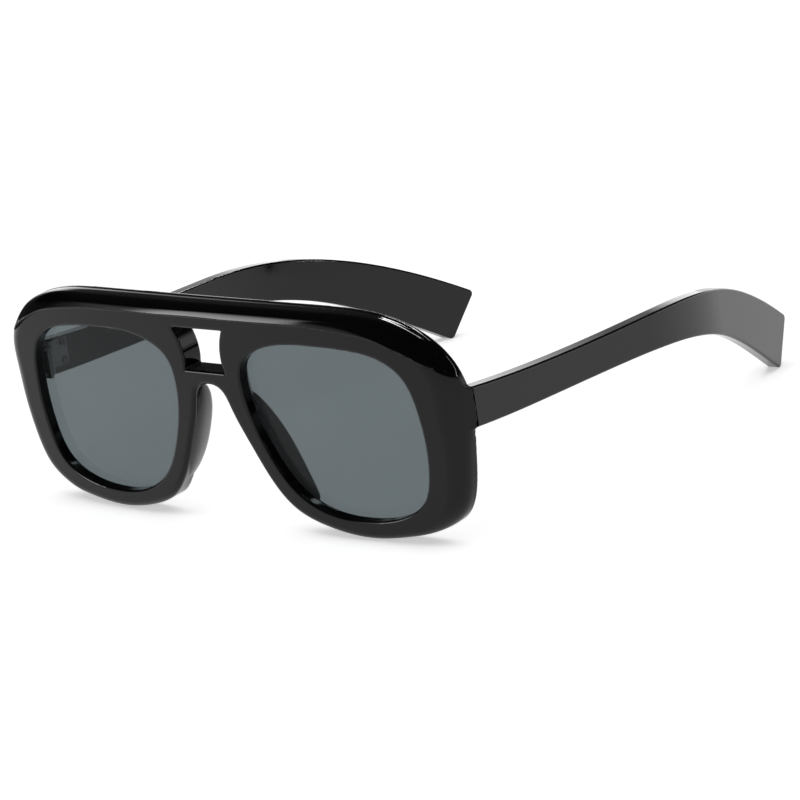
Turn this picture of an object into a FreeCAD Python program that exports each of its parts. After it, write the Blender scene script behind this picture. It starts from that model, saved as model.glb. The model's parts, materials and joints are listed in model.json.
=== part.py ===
import FreeCAD
import Part
import math
import os
from FreeCAD import Placement, Rotation, Vector

# Oversized sunglasses: a thick wrapped front with a raised brow bar and a window in the bridge,
# two dark lenses, bonded nose pads, and temples that fold on screwed five-barrel hinges.
# Millimetres. +X is the wearer's left, -Y is the way the wearer looks, +Z is up.
# The origin is on the surface that the open glasses rest on, under the middle of their box.

SIZES = (
    ("lens_width", 51.2, "width of a lens opening"),
    ("lens_height", 41.9, "height of a lens opening"),
    ("bridge_width", 21.4, "gap between the two lens openings"),
    ("rim_bottom", 4.6, "rim below a lens opening"),
    ("rim_top", 8.45, "front above a lens opening, with the brow bar"),
    ("rim_side", 11.1, "front outside a lens opening, out to the temple"),
    ("rim_nose", 4.3, "rim between a lens opening and the nose arch"),
    ("front_thickness", 5.85, "thickness of the front"),
    ("wrap_radius", 640.0, "radius of the front's curve across the face"),
    ("front_tilt", 3.5, "forward lean of the front's top, in degrees"),
    ("brow_rise", 1.5, "how far the brow bar stands out of the face"),
    ("brow_band", 3.2, "height of the brow bar at the middle"),
    ("edge_round", 1.0, "rounding of the front's edges"),
    ("window_width", 16.0, "width of the bridge window at its top"),
    ("window_waist", 12.0, "width of the bridge window at its waist"),
    ("window_height", 10.45, "height of the bridge window"),
    ("window_rise", 2.2, "top of the bridge window above the lens openings"),
    ("bridge_bar", 3.35, "height of the bar between the window and the nose arch"),
    ("lens_inset", 2.7, "lens behind the face of the front"),
    ("lens_thickness", 2.0, "thickness of a lens"),
    ("groove_depth", 0.8, "depth of the lens groove in the rim"),
    ("fit_play", 0.05, "clearance round a piece that is fixed in a seat"),
    ("pad_length", 25.0, "length of a nose pad"),
    ("pad_width", 4.4, "width of a nose pad"),
    ("pad_depth", 5.4, "how far a nose pad stands behind the front"),
    ("pad_lean", 26.0, "lean of a nose pad off upright, in degrees"),
    ("pad_splay", 9.0, "opening of the nose pads towards the face, in degrees"),
    ("temple_thickness", 3.6, "thickness of a temple"),
    ("temple_length", 137.4, "temple from the joint to its tip, measured straight back"),
    ("temple_height", 9.4, "height of a temple at the joint"),
    ("temple_round", 0.5, "rounding of a temple's edges"),
    ("tip_rake", 7.8, "how far the tip's lower corner stands ahead of its upper one"),
    ("tip_rise", 10.9, "height of the tip's upper corner when the glasses rest"),
    ("tip_sink", 0.4, "tip's lower corner below the surface, before it is rounded"),
    ("tip_round", 1.2, "rounding of the tip's corners"),
    ("bend_start", 63.0, "straight shank of a temple, from the joint to the bend"),
    ("bend_radius", 95.0, "radius of the inward bend"),
    ("bend_angle", 18.8, "angle of the inward bend, in degrees"),
    ("wire_height", 1.6, "height of the core wire in a temple"),
    ("wire_thickness", 1.1, "thickness of the core wire"),
    ("wire_end", 14.0, "temple left beyond the core wire"),
    ("hinge_height", 32.35, "middle of the hinge above the surface"),
    ("hinge_offset", 2.3, "hinge axis inside the temple's inner face"),
    ("hinge_back", 2.0, "hinge axis behind the joint face"),
    ("barrel_radius", 1.7, "radius of a hinge barrel"),
    ("barrel_height", 1.3, "height of a hinge barrel"),
    ("barrel_gap", 0.08, "running gap between hinge barrels"),
    ("leaf_thickness", 0.9, "thickness of a hinge leaf"),
    ("front_leaf_length", 4.0, "front hinge leaf inwards from the axis"),
    ("temple_leaf_length", 9.2, "temple hinge leaf back from the axis"),
    ("lug_wall", 0.5, "endpiece beyond the front hinge leaf"),
    ("lug_inset", 0.25, "endpiece lug inside the temple's outer side"),
    ("joint_gap", 0.06, "gap between the temple's end and the front"),
    ("pin_radius", 0.7, "radius of the hinge screw"),
    ("pin_play", 0.04, "running clearance of the hinge screw"),
    ("pin_tail", 0.25, "hinge screw beyond the lowest barrel"),
    ("pin_head_radius", 1.3, "radius of the hinge screw's head"),
    ("pin_head_height", 0.7, "height of the hinge screw's head"),
    ("fixing_radius", 0.6, "radius of a leaf's fixing screw"),
    ("fixing_length", 1.6, "length of a leaf's fixing screw beyond the leaf"),
    ("fixing_spacing", 4.6, "distance between a leaf's two fixing screws"),
    ("fixing_inset", 1.25, "fixing screws from the far end of a leaf"),
    ("fixing_head_radius", 0.9, "radius of a fixing screw's head"),
    ("fixing_head_height", 0.5, "height of a fixing screw's head"),
    ("slot_width", 0.35, "width of a screwdriver slot"),
    ("slot_depth", 0.3, "depth of a screwdriver slot"),
)

# Shares of the lens opening's width and height, going round from the top towards the temple
OPENING_SHAPE = (
    (0.465, 1.000), (0.690, 0.983), (0.836, 0.942), (0.940, 0.850), (0.994, 0.656),
    (0.990, 0.310), (0.936, 0.143), (0.818, 0.048), (0.582, 0.000), (0.377, 0.029),
    (0.207, 0.141), (0.076, 0.380), (0.005, 0.680), (0.030, 0.865), (0.133, 0.952),
)
# Temple edges, as shares of the edge's length and of its fall from the joint to the tip
TOP_EDGE = (
    (0.0, 1.0), (0.117, 0.952), (0.400, 0.915), (0.540, 0.901),
    (0.685, 0.782), (0.823, 0.517), (1.0, 0.0),
)
LOWER_EDGE = (
    (0.0, 1.0), (0.209, 0.968), (0.425, 0.951), (0.572, 0.904),
    (0.726, 0.722), (0.873, 0.372), (1.0, 0.0),
)
WIRE_POINTS = 7
BARRELS = 5
STACK = "%d * sizes.barrel_height + %d * sizes.barrel_gap" % (BARRELS, BARRELS - 1)
ALONG_X = Vector(1, 0, 0)
ALONG_Y = Vector(0, 1, 0)
ALONG_Z = Vector(0, 0, 1)

doc = FreeCAD.newDocument("sunglasses")
sheet = doc.addObject("Spreadsheet::Sheet", "sizes")
for row, (alias, value, meaning) in enumerate(SIZES, start=1):
    sheet.set("A%d" % row, meaning)
    sheet.set("B%d" % row, str(value))
    sheet.setAlias("B%d" % row, alias)
doc.recompute()


class Sizes:
    """The sheet's values, read by name."""

    def __getattr__(self, alias):
        return float(sheet.get(alias))


s = Sizes()

# Places that follow from the sizes
inner_x = s.bridge_width / 2
outer_x = inner_x + s.lens_width
low_z = s.rim_bottom
high_z = low_z + s.lens_height
front_top = high_z + s.rim_top
window_top = high_z + s.window_rise
window_bottom = window_top - s.window_height
arch_top = window_bottom - s.bridge_bar
temple_outer = outer_x + s.rim_side
temple_inner = temple_outer - s.temple_thickness
temple_middle = temple_outer - s.temple_thickness / 2
tilt = math.radians(s.front_tilt)


def sag(x):
    """Depth of the wrapped face at a distance from the middle."""
    return s.wrap_radius - math.sqrt(s.wrap_radius ** 2 - x ** 2)


# The joint face is where the back of the leaning front meets the temple's outer side
joint_y = (sag(temple_outer) + s.front_thickness) / math.cos(tilt) - s.hinge_height * math.tan(tilt)
root_y = joint_y + s.joint_gap
tip_y = joint_y + s.temple_length
root_top = s.hinge_height + s.temple_height / 2
root_bottom = s.hinge_height - s.temple_height / 2
axis_x = temple_inner - s.hinge_offset
axis_y = joint_y + s.hinge_back
barrel_pitch = s.barrel_height + s.barrel_gap
stack_height = BARRELS * barrel_pitch - s.barrel_gap
stack_bottom = s.hinge_height - stack_height / 2


# General helpers
def smooth_loop(points):
    """A closed smooth curve through the points."""
    distances = [0.0]
    for point, following in zip(points, points[1:] + points[:1]):
        distances.append(distances[-1] + point.distanceToPoint(following))
    curve = Part.BSplineCurve()
    curve.interpolate(points, PeriodicFlag=True, Parameters=distances)
    return curve


def smooth_line(points, **ends):
    """An open smooth curve through the points, with any tangents at its ends."""
    curve = Part.BSplineCurve()
    curve.interpolate(points, **ends)
    return curve


def prism(name, wire, direction):
    """Extrudes an outline both ways, far enough to pass through the part."""
    outline = doc.addObject("Part::Feature", name + "_outline")
    outline.Shape = wire
    feature = doc.addObject("Part::Extrusion", name)
    feature.Base = outline
    feature.DirMode = "Custom"
    feature.Dir = direction
    feature.Solid = True
    feature.setExpression("LengthFwd", "2 * sizes.lens_width")
    feature.setExpression("LengthRev", "2 * sizes.lens_width")
    return feature


def boolean(kind, name, base, tool):
    """Part::Cut or Part::Common of two objects."""
    feature = doc.addObject("Part::" + kind, name)
    feature.Base = base
    feature.Tool = tool
    return feature


def join(name, features):
    """One object of several that meet."""
    feature = doc.addObject("Part::MultiFuse", name)
    feature.Shapes = features
    return feature


def group(name, features):
    """One object of several separate solids."""
    feature = doc.addObject("Part::Compound", name)
    feature.Links = features
    return feature


def mirrored(name, source):
    """The same piece on the wearer's right."""
    feature = doc.addObject("Part::Mirroring", name)
    feature.Source = source
    feature.Normal = ALONG_X
    return feature


def cylinder(name, radius, height, place):
    """A cylinder with its sizes given as expressions."""
    feature = doc.addObject("Part::Cylinder", name)
    feature.setExpression("Radius", radius)
    feature.setExpression("Height", height)
    feature.Placement = place
    return feature


def block(name, extent, corner):
    """A box from its lowest corner, with its extent along X, Y and Z given as expressions."""
    feature = doc.addObject("Part::Box", name)
    for side, expression in zip(("Length", "Width", "Height"), extent):
        feature.setExpression(side, expression)
    feature.Placement = Placement(corner, Rotation())
    return feature


def seat(name, extent, corner):
    """The pocket for a block, with the fit's clearance all round."""
    grown = ["%s + 2 * sizes.fit_play" % expression for expression in extent]
    return block(name, grown, corner - Vector(1, 1, 1) * s.fit_play)


def wrap_cylinder(name, depth):
    """Upright cylinder whose wall lies at a depth behind the face of the front."""
    feature = doc.addObject("Part::Cylinder", name)
    feature.setExpression("Radius", "sizes.wrap_radius - (%s)" % depth)
    feature.setExpression("Height", "3 * sizes.lens_height")
    feature.setExpression("Placement.Base.y", "sizes.wrap_radius")
    feature.setExpression("Placement.Base.z", "-sizes.lens_height")
    return feature


def between(name, solid, front_depth, back_depth):
    """The part of a solid that lies between two depths behind the face of the front."""
    feature = boolean("Common", name + "_front", solid, wrap_cylinder(name + "_face", front_depth))
    return boolean("Cut", name, feature, wrap_cylinder(name + "_back", back_depth))


def rounded(name, base, radius, wanted):
    """Rounds the edges that the test picks."""
    doc.recompute()
    feature = doc.addObject("Part::Fillet", name)
    feature.Base = base
    numbered = enumerate(base.Shape.Edges, start=1)
    feature.Edges = [(number, radius, radius) for number, edge in numbered if wanted(edge)]
    return feature


def lean(feature):
    """Tips a piece of the front forward, about the surface that it stands on."""
    feature.Placement = Placement(Vector(), Rotation(ALONG_X, s.front_tilt))
    return feature


# Outlines of the front, drawn in its own upright plane
def opening_wire(growth):
    """Lens opening on the wearer's left, made larger all round by growth."""
    points = [
        Vector(inner_x + across * s.lens_width, 0, low_z + up * s.lens_height)
        for across, up in OPENING_SHAPE
    ]
    curve = smooth_loop(points)
    outward = [curve.tangent(knot)[0].cross(ALONG_Y) for knot in curve.getKnots()]
    grown = [point + normal * growth for point, normal in zip(points, outward)]
    return Part.Wire([smooth_loop(grown).toShape()])


def outline_wire():
    """Outer edge of the front, round the brow, the sides, the rims and the nose arch."""
    wide = s.lens_width
    tall = s.lens_height
    left_half = (
        (0, front_top),
        (inner_x + 0.50 * wide, high_z + 0.935 * s.rim_top),
        (inner_x + 0.84 * wide, high_z + 0.70 * s.rim_top),
        (outer_x + 0.23 * s.rim_side, high_z + 0.19 * s.rim_top),
        (outer_x + 0.73 * s.rim_side, low_z + 0.90 * tall),
        (outer_x + s.rim_side, low_z + 0.67 * tall),
        (outer_x + 0.86 * s.rim_side, low_z + 0.45 * tall),
        (outer_x + 0.75 * s.rim_side, low_z + 0.285 * tall),
        (outer_x + 0.38 * s.rim_side, low_z + 0.055 * tall),
        (inner_x + 0.82 * wide, low_z - 0.70 * s.rim_bottom),
        (inner_x + 0.60 * wide, 0),
        (inner_x + 0.36 * wide, low_z - 0.67 * s.rim_bottom),
        (inner_x + 0.17 * wide, low_z + 0.03 * tall),
        (inner_x + 0.60 * s.rim_nose, low_z + 0.21 * tall),
        (inner_x - 0.30 * s.rim_nose, low_z + 0.39 * tall),
        (inner_x - 1.20 * s.rim_nose, low_z + 0.60 * tall),
        (inner_x - 1.65 * s.rim_nose, arch_top - 0.36 * s.bridge_bar),
        (0, arch_top),
    )
    points = [Vector(x, 0, z) for x, z in left_half]
    left = smooth_line(points, InitialTangent=ALONG_X, FinalTangent=-ALONG_X).toShape()
    return Part.Wire([left, left.mirror(Vector(), ALONG_X)])


def below_brow_wire():
    """All that lies below the brow bar's lower edge."""
    middle = front_top - s.brow_band
    left_half = (
        (inner_x + 0.50 * s.lens_width, middle - 0.04 * s.rim_top),
        (inner_x + 0.83 * s.lens_width, high_z + 0.30 * s.rim_top),
        (outer_x + 0.05 * s.rim_side, high_z - 0.033 * s.lens_height),
        (outer_x + 0.45 * s.rim_side, high_z - 0.093 * s.lens_height),
        (outer_x + 1.20 * s.rim_side, high_z - 0.24 * s.lens_height),
    )
    points = [(-x, z) for x, z in reversed(left_half)] + [(0, middle), *left_half]
    edge = smooth_line([Vector(x, 0, z) for x, z in points]).toShape()
    end_x, end_z = left_half[-1]
    below = -s.lens_height
    corners = [(end_x, end_z), (end_x, below), (-end_x, below), (-end_x, end_z)]
    sides = Part.makePolygon([Vector(x, 0, z) for x, z in corners])
    return Part.Wire([edge] + sides.Edges)


def window_wire():
    """Window between the two bridge bars, with sides that follow the lens rims."""
    half_top = s.window_width / 2
    half_waist = s.window_waist / 2
    half_low = (s.window_width + 3 * s.window_waist) / 8
    waist_z = window_bottom + 0.30 * s.window_height
    top = [Vector(side * half_top, 0, window_top) for side in (-1, 1)]
    waist = [Vector(side * half_waist, 0, waist_z) for side in (-1, 1)]
    low = [Vector(side * half_low, 0, window_bottom) for side in (-1, 1)]
    return Part.Wire([
        Part.makeLine(top[0], top[1]),
        Part.Arc(top[1], waist[1], low[1]).toShape(),
        Part.makeLine(low[1], low[0]),
        Part.Arc(low[0], waist[0], top[0]).toShape(),
    ])


# Outlines of a temple
def temple_edge(shares, end_y, end_z, start_z):
    """Upper or lower edge of a temple, seen from the side."""
    points = [
        Vector(0, root_y + along * (end_y - root_y), end_z + fall * (start_z - end_z))
        for along, fall in shares
    ]
    return smooth_line(points)


top_edge = temple_edge(TOP_EDGE, tip_y, s.tip_rise, root_top)
lower_edge = temple_edge(LOWER_EDGE, tip_y - s.tip_rake, -s.tip_sink, root_bottom)


def edge_height(edge, y):
    """Height of a temple's edge at a distance back."""
    line = Part.Line(Vector(0, y, 0), Vector(0, y, 1)).toShape(-s.temple_length, s.temple_length)
    return edge.toShape().distToShape(line)[1][0][0].z


def side_wire():
    """A temple seen from the side."""
    top = top_edge.toShape()
    low = lower_edge.toShape()
    tip = Part.makeLine(top_edge.EndPoint, lower_edge.EndPoint)
    root = Part.makeLine(lower_edge.StartPoint, top_edge.StartPoint)
    return Part.Wire([top, tip, low, root])


def wire_side(play):
    """The core wire seen from the side, midway between the temple's edges."""
    start_y = root_y - 2 * play
    reach = tip_y - s.wire_end + play - start_y
    half = s.wire_height / 2 + play
    middles = []
    for number in range(WIRE_POINTS):
        y = start_y + reach * number / (WIRE_POINTS - 1)
        in_temple = max(y, root_y)
        z = (edge_height(top_edge, in_temple) + edge_height(lower_edge, in_temple)) / 2
        middles.append(Vector(0, y, z))
    upper = smooth_line([middle + ALONG_Z * half for middle in middles])
    lower = smooth_line([middle - ALONG_Z * half for middle in middles])
    return Part.Wire([
        upper.toShape(),
        Part.makeLine(upper.EndPoint, lower.EndPoint),
        lower.toShape(),
        Part.makeLine(lower.StartPoint, upper.StartPoint),
    ])


def plan_wire(half):
    """A band along a temple's middle line seen from above: straight, bent inwards, straight."""
    bend_y = joint_y + s.bend_start
    turn = math.radians(s.bend_angle)
    centre = Vector(temple_middle - s.bend_radius, bend_y, 0)
    onward = Vector(-math.sin(turn), math.cos(turn), 0) * s.temple_length

    def side(offset):
        reach = s.bend_radius + offset
        start = Vector(temple_middle + offset, 0, 0)
        bend = [
            centre + Vector(math.cos(turn * share), math.sin(turn * share), 0) * reach
            for share in (0, 0.5, 1)
        ]
        return [
            Part.makeLine(start, bend[0]),
            Part.Arc(*bend).toShape(),
            Part.makeLine(bend[2], bend[2] + onward),
        ]

    outer = side(half)
    inner = side(-half)
    ends = [
        Part.makeLine(outer[-1].Vertexes[-1].Point, inner[-1].Vertexes[-1].Point),
        Part.makeLine(inner[0].Vertexes[0].Point, outer[0].Vertexes[0].Point),
    ]
    return Part.Wire(Part.sortEdges(outer + inner + ends)[0])


# The front's plate: wrapped, and milled back below the brow bar
blank = prism("front_blank", outline_wire(), ALONG_Y)
plate = between("front_plate", blank, "-sizes.brow_rise", "sizes.front_thickness")
relief = prism("face_relief", below_brow_wire(), ALONG_Y)
relief = boolean("Cut", "face_cut", relief, wrap_cylinder("front_face", "0"))
plate = boolean("Cut", "front_milled", plate, relief)


def is_front_edge(edge):
    """Outer edges of the face and of the brow bar, but not the crease below the bar."""
    middle = edge.valueAt((edge.FirstParameter + edge.LastParameter) / 2)
    depth = middle.y - sag(middle.x)
    on_back = depth > s.front_thickness / 2
    crosses_middle = edge.BoundBox.XMin < 0 < edge.BoundBox.XMax
    on_seam = edge.BoundBox.XLength < s.fit_play and edge.BoundBox.YLength > s.front_thickness / 2
    is_crease = crosses_middle and abs(depth) < s.brow_rise / 2
    return not (on_back or on_seam or is_crease)


plate = lean(rounded("front_rounded", plate, s.edge_round, is_front_edge))

# Endpieces: flat lugs behind the outer ends of the front, where the hinges sit
lug_depth = s.leaf_thickness + 2 * s.fixing_length
lug_start = axis_x - s.front_leaf_length - s.lug_wall
LUG_DEPTH = "sizes.leaf_thickness + 2 * sizes.fixing_length"
LUG_REACH = "sizes.temple_thickness + sizes.hinge_offset + sizes.front_leaf_length + sizes.lug_wall"
lug_left = block(
    "lug_left",
    (LUG_REACH + " - sizes.lug_inset", LUG_DEPTH, "sizes.temple_height"),
    Vector(lug_start, joint_y - lug_depth, root_bottom),
)
# The leaning back is milled off where it would stand behind the joint face
joint_relief = block(
    "joint_relief",
    (LUG_REACH + " + sizes.edge_round", "sizes.front_thickness", "sizes.temple_height + sizes.edge_round"),
    Vector(lug_start, joint_y, root_bottom - s.edge_round),
)
solid_front = join("front_solid", [plate, lug_left, mirrored("lug_right", lug_left)])

# Lens openings with their grooves, and the bridge window
groove = between(
    "lens_groove", prism("groove_stock", opening_wire(s.groove_depth), ALONG_Y),
    "sizes.lens_inset - sizes.fit_play", "sizes.lens_inset + sizes.lens_thickness + sizes.fit_play",
)
opening_left = lean(join("opening_left", [prism("lens_hole", opening_wire(0), ALONG_Y), groove]))
window = lean(prism("window", window_wire(), ALONG_Y))

# A lens fills its opening and groove, less the clearance
lens_left = between(
    "lens_left", prism("lens_stock", opening_wire(s.groove_depth - s.fit_play), ALONG_Y),
    "sizes.lens_inset", "sizes.lens_inset + sizes.lens_thickness",
)
lean(lens_left)

# A nose pad is a half ellipsoid that stands on the back of the nasal rim
pad_x = inner_x + 0.44 * s.rim_nose
pad_z = low_z + 0.335 * s.lens_height
pad_form = doc.addObject("Part::Ellipsoid", "pad_form")
pad_form.setExpression("Radius1", "sizes.pad_length / 2")
pad_form.setExpression("Radius2", "sizes.pad_width / 2")
pad_form.setExpression("Radius3", "sizes.pad_depth")
pad_form.Angle1 = -90
pad_turn = Rotation(ALONG_Z, -s.pad_splay).multiply(Rotation(ALONG_Y, -s.pad_lean))
pad_form.Placement = Placement(Vector(pad_x, sag(pad_x) + s.front_thickness, pad_z), pad_turn)
pad_seat = wrap_cylinder("pad_seat", "sizes.front_thickness + sizes.fit_play")
nose_pad_left = boolean("Common", "nose_pad_left", pad_form, pad_seat)
lean(nose_pad_left)


# Hinges: a front leaf with the odd barrels and a temple leaf with the even ones, on one screw
FRONT_PLATE = ("sizes.front_leaf_length + sizes.barrel_radius", "sizes.leaf_thickness", STACK)
TEMPLE_PLATE = ("sizes.leaf_thickness", "sizes.temple_leaf_length + sizes.barrel_radius", STACK)
FRONT_ARM = ("2 * sizes.barrel_radius", "sizes.leaf_thickness + sizes.hinge_back", "sizes.barrel_height")
TEMPLE_ARM = ("sizes.leaf_thickness + sizes.hinge_offset", "2 * sizes.barrel_radius", "sizes.barrel_height")
front_plate_corner = Vector(axis_x - s.front_leaf_length, joint_y - s.leaf_thickness, stack_bottom)
temple_plate_corner = Vector(temple_inner, axis_y - s.barrel_radius, stack_bottom)
front_arm_corner = Vector(axis_x - s.barrel_radius, joint_y - s.leaf_thickness, stack_bottom)
temple_arm_corner = Vector(axis_x, axis_y - s.barrel_radius, stack_bottom)

# A fixing screw's own axis points out of its head: back on the front, inwards on a temple
fixing_rows = [s.hinge_height + side * s.fixing_spacing / 2 for side in (-1, 1)]
front_fixing_x = axis_x - s.front_leaf_length + s.fixing_inset
front_fixings = [
    Placement(Vector(front_fixing_x, joint_y, z), Rotation(ALONG_Z, ALONG_Y))
    for z in fixing_rows
]
temple_fixing_y = axis_y + s.temple_leaf_length - s.fixing_inset
temple_fixings = [
    Placement(Vector(temple_inner, temple_fixing_y, z), Rotation(ALONG_Z, -ALONG_X))
    for z in fixing_rows
]


def fixing_holes(name, places, play):
    """Holes for a leaf's two fixing screws, through the leaf and into what it is fixed to."""
    into = Placement(Vector(0, 0, -s.leaf_thickness - s.fixing_length - s.fit_play), Rotation())
    return [
        cylinder(
            "%s_%d" % (name, number), "sizes.fixing_radius + %s" % play,
            "sizes.leaf_thickness + sizes.fixing_length + 2 * sizes.fit_play", place.multiply(into),
        )
        for number, place in enumerate(places, start=1)
    ]


def leaf(name, plate_extent, plate_corner, arm_extent, arm_corner, first, fixings):
    """A hinge leaf: a plate with every second barrel, drilled for the hinge screw and its fixings."""
    solids = [block(name + "_plate", plate_extent, plate_corner)]
    for number in range(first, BARRELS, 2):
        rise = Vector(0, 0, number * barrel_pitch)
        centre = Placement(Vector(axis_x, axis_y, stack_bottom) + rise, Rotation())
        label = "%s_barrel_%d" % (name, number)
        solids.append(cylinder(label, "sizes.barrel_radius", "sizes.barrel_height", centre))
        solids.append(block(label + "_arm", arm_extent, arm_corner + rise))
    below = Placement(Vector(axis_x, axis_y, stack_bottom - s.barrel_height), Rotation())
    bore = cylinder(
        name + "_bore", "sizes.pin_radius + sizes.pin_play", "2 * sizes.barrel_height + " + STACK, below,
    )
    holes = [bore] + fixing_holes(name + "_fixing", fixings, "sizes.fit_play")
    return boolean("Cut", name, join(name + "_solid", solids), join(name + "_holes", holes))


front_hinge_left = leaf(
    "front_hinge_left", FRONT_PLATE, front_plate_corner,
    FRONT_ARM, front_arm_corner, 0, front_fixings,
)
temple_hinge_left = leaf(
    "temple_hinge_left", TEMPLE_PLATE, temple_plate_corner,
    TEMPLE_ARM, temple_arm_corner, 1, temple_fixings,
)


def screw(name, radius, length, head_radius, head_height, place):
    """A slotted screw. Its origin is under the head, and its own +Z points out of the head."""
    shank = cylinder(name + "_shank", radius, length, Placement())
    shank.setExpression("Placement.Base.z", "-(%s)" % length)
    head = cylinder(name + "_head", head_radius, head_height, Placement())
    slot = block(
        name + "_slot",
        ("2 * (%s)" % head_radius, "sizes.slot_width", "2 * sizes.slot_depth"),
        Vector(),
    )
    slot.setExpression("Placement.Base.x", "-(%s)" % head_radius)
    slot.setExpression("Placement.Base.y", "-sizes.slot_width / 2")
    slot.setExpression("Placement.Base.z", "%s - sizes.slot_depth" % head_height)
    feature = boolean("Cut", name, join(name + "_solid", [shank, head]), slot)
    feature.Placement = place
    return feature


hinge_screw_left = screw(
    "hinge_screw_left", "sizes.pin_radius", STACK + " + sizes.pin_tail",
    "sizes.pin_head_radius", "sizes.pin_head_height",
    Placement(Vector(axis_x, axis_y, stack_bottom + stack_height), Rotation()),
)


def fixing_screws(name, places):
    """The two screws that hold a leaf."""
    return group(name, [
        screw(
            "%s_%d" % (name, number), "sizes.fixing_radius", "sizes.leaf_thickness + sizes.fixing_length",
            "sizes.fixing_head_radius", "sizes.fixing_head_height", place,
        )
        for number, place in enumerate(places, start=1)
    ])


front_fixings_left = fixing_screws("front_hinge_fixings_left", front_fixings)
temple_fixings_left = fixing_screws("temple_hinge_fixings_left", temple_fixings)

# The front, cut for the lenses, the window and the hinge leaves
hinge_cut = join(
    "front_hinge_cut",
    [joint_relief, seat("front_leaf_seat", FRONT_PLATE, front_plate_corner)]
    + fixing_holes("front_lug_hole", front_fixings, "sizes.fit_play"),
)
cuts = [opening_left, mirrored("opening_right", opening_left), window]
cuts += [hinge_cut, mirrored("front_hinge_cut_right", hinge_cut)]
front_frame = boolean("Cut", "front_frame", solid_front, join("front_cuts", cuts))

# A temple: its side outline and its bent plan, cut for the core wire and the hinge leaf
temple_side = prism("temple_side", side_wire(), ALONG_X)
temple_plan = prism("temple_plan", plan_wire(s.temple_thickness / 2), ALONG_Z)
temple = boolean("Common", "temple_stock", temple_side, temple_plan)


def is_tip_corner(edge):
    """The short edges across the tip's two corners."""
    box = edge.BoundBox
    return box.YMin > tip_y - 2 * s.tip_rake and edge.Length < 2 * s.temple_thickness


def is_free_edge(edge):
    """Every edge of a temple but those of the face that meets the front."""
    return edge.BoundBox.YMax > root_y + s.temple_thickness


temple = rounded("temple_tip", temple, s.tip_round, is_tip_corner)
temple = rounded("temple_rounded", temple, s.temple_round, is_free_edge)


def core_wire(name, play):
    """The core wire, or with some play the tunnel that it lies in."""
    half = s.wire_thickness / 2 + play
    return boolean(
        "Common", name,
        prism(name + "_side", wire_side(play), ALONG_X), prism(name + "_plan", plan_wire(half), ALONG_Z),
    )


core_wire_left = core_wire("core_wire_left", 0)
temple_cuts = join(
    "temple_cuts",
    [core_wire("wire_tunnel", s.fit_play), seat("temple_leaf_seat", TEMPLE_PLATE, temple_plate_corner)]
    + fixing_holes("temple_hole", temple_fixings, "sizes.fit_play"),
)
temple_left = boolean("Cut", "temple_left", temple, temple_cuts)

left_pieces = (
    lens_left, nose_pad_left, front_hinge_left, temple_hinge_left, hinge_screw_left,
    front_fixings_left, temple_fixings_left, temple_left, core_wire_left,
)
pieces = [front_frame]
for piece in left_pieces:
    pieces.append(piece)
    pieces.append(mirrored(piece.Name.replace("_left", "_right"), piece))


def recompute():
    """Works out every feature, and stops at any that failed."""
    doc.recompute()
    failed = [feature.Name for feature in doc.Objects if {"Invalid", "Error"} & set(feature.State)]
    if failed:
        raise RuntimeError("failed: " + ", ".join(failed))
    for piece in pieces:
        if piece.Shape.isNull() or not piece.Shape.isValid() or not piece.Shape.Solids:
            raise RuntimeError("%s has no sound solid" % piece.Name)


recompute()

# Sets the open glasses down on the surface, with the origin under the middle of their box
box = FreeCAD.BoundBox()
for piece in pieces:
    box.add(piece.Shape.optimalBoundingBox(False, False))
shift = Placement(Vector(0, -box.Center.y, -box.ZMin), Rotation())
for piece in (front_frame, *left_pieces):
    piece.Placement = shift.multiply(piece.Placement)
for piece in pieces:
    piece.Label = piece.Name
recompute()

os.makedirs("parts", exist_ok=True)
for piece in pieces:
    piece.Shape.exportStep("parts/%s.step" % piece.Label)
axis = Vector(axis_x, axis_y, s.hinge_height) + shift.Base
print("hinge axis on the wearer's left: x %.3f, y %.3f, middle z %.3f" % (axis.x, axis.y, axis.z))
print("box: %.2f wide, %.2f deep, %.2f high" % (box.XLength, box.YLength, box.ZLength))
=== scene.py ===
import bmesh
import bpy
import json
import math
import numpy as np
from mathutils import Matrix, Vector


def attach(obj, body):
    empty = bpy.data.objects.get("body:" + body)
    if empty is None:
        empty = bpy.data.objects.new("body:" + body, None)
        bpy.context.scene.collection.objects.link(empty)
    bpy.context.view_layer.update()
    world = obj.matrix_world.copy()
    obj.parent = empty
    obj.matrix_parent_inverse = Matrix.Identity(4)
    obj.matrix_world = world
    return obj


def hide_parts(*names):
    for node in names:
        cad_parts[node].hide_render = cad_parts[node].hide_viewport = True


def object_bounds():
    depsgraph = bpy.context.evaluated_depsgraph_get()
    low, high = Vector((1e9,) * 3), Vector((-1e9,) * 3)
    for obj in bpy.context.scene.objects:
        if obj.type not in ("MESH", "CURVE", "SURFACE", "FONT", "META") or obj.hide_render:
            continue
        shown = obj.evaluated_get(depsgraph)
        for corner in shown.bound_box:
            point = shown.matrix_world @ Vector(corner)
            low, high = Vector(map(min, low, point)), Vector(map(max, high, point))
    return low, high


# Oversized sunglasses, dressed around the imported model.
# Shapes are worked out in millimetres and turned into metres when a mesh is made.

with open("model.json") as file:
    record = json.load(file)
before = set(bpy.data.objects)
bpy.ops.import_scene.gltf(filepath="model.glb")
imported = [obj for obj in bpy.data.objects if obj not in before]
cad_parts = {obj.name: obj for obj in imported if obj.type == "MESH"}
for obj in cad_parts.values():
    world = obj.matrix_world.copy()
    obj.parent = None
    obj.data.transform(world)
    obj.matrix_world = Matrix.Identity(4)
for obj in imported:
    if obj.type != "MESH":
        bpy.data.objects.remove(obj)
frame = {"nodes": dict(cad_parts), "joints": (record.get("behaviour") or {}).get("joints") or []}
cad_box = [list(corner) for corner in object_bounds()]
nodes = frame["nodes"]
MM = 0.001

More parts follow.
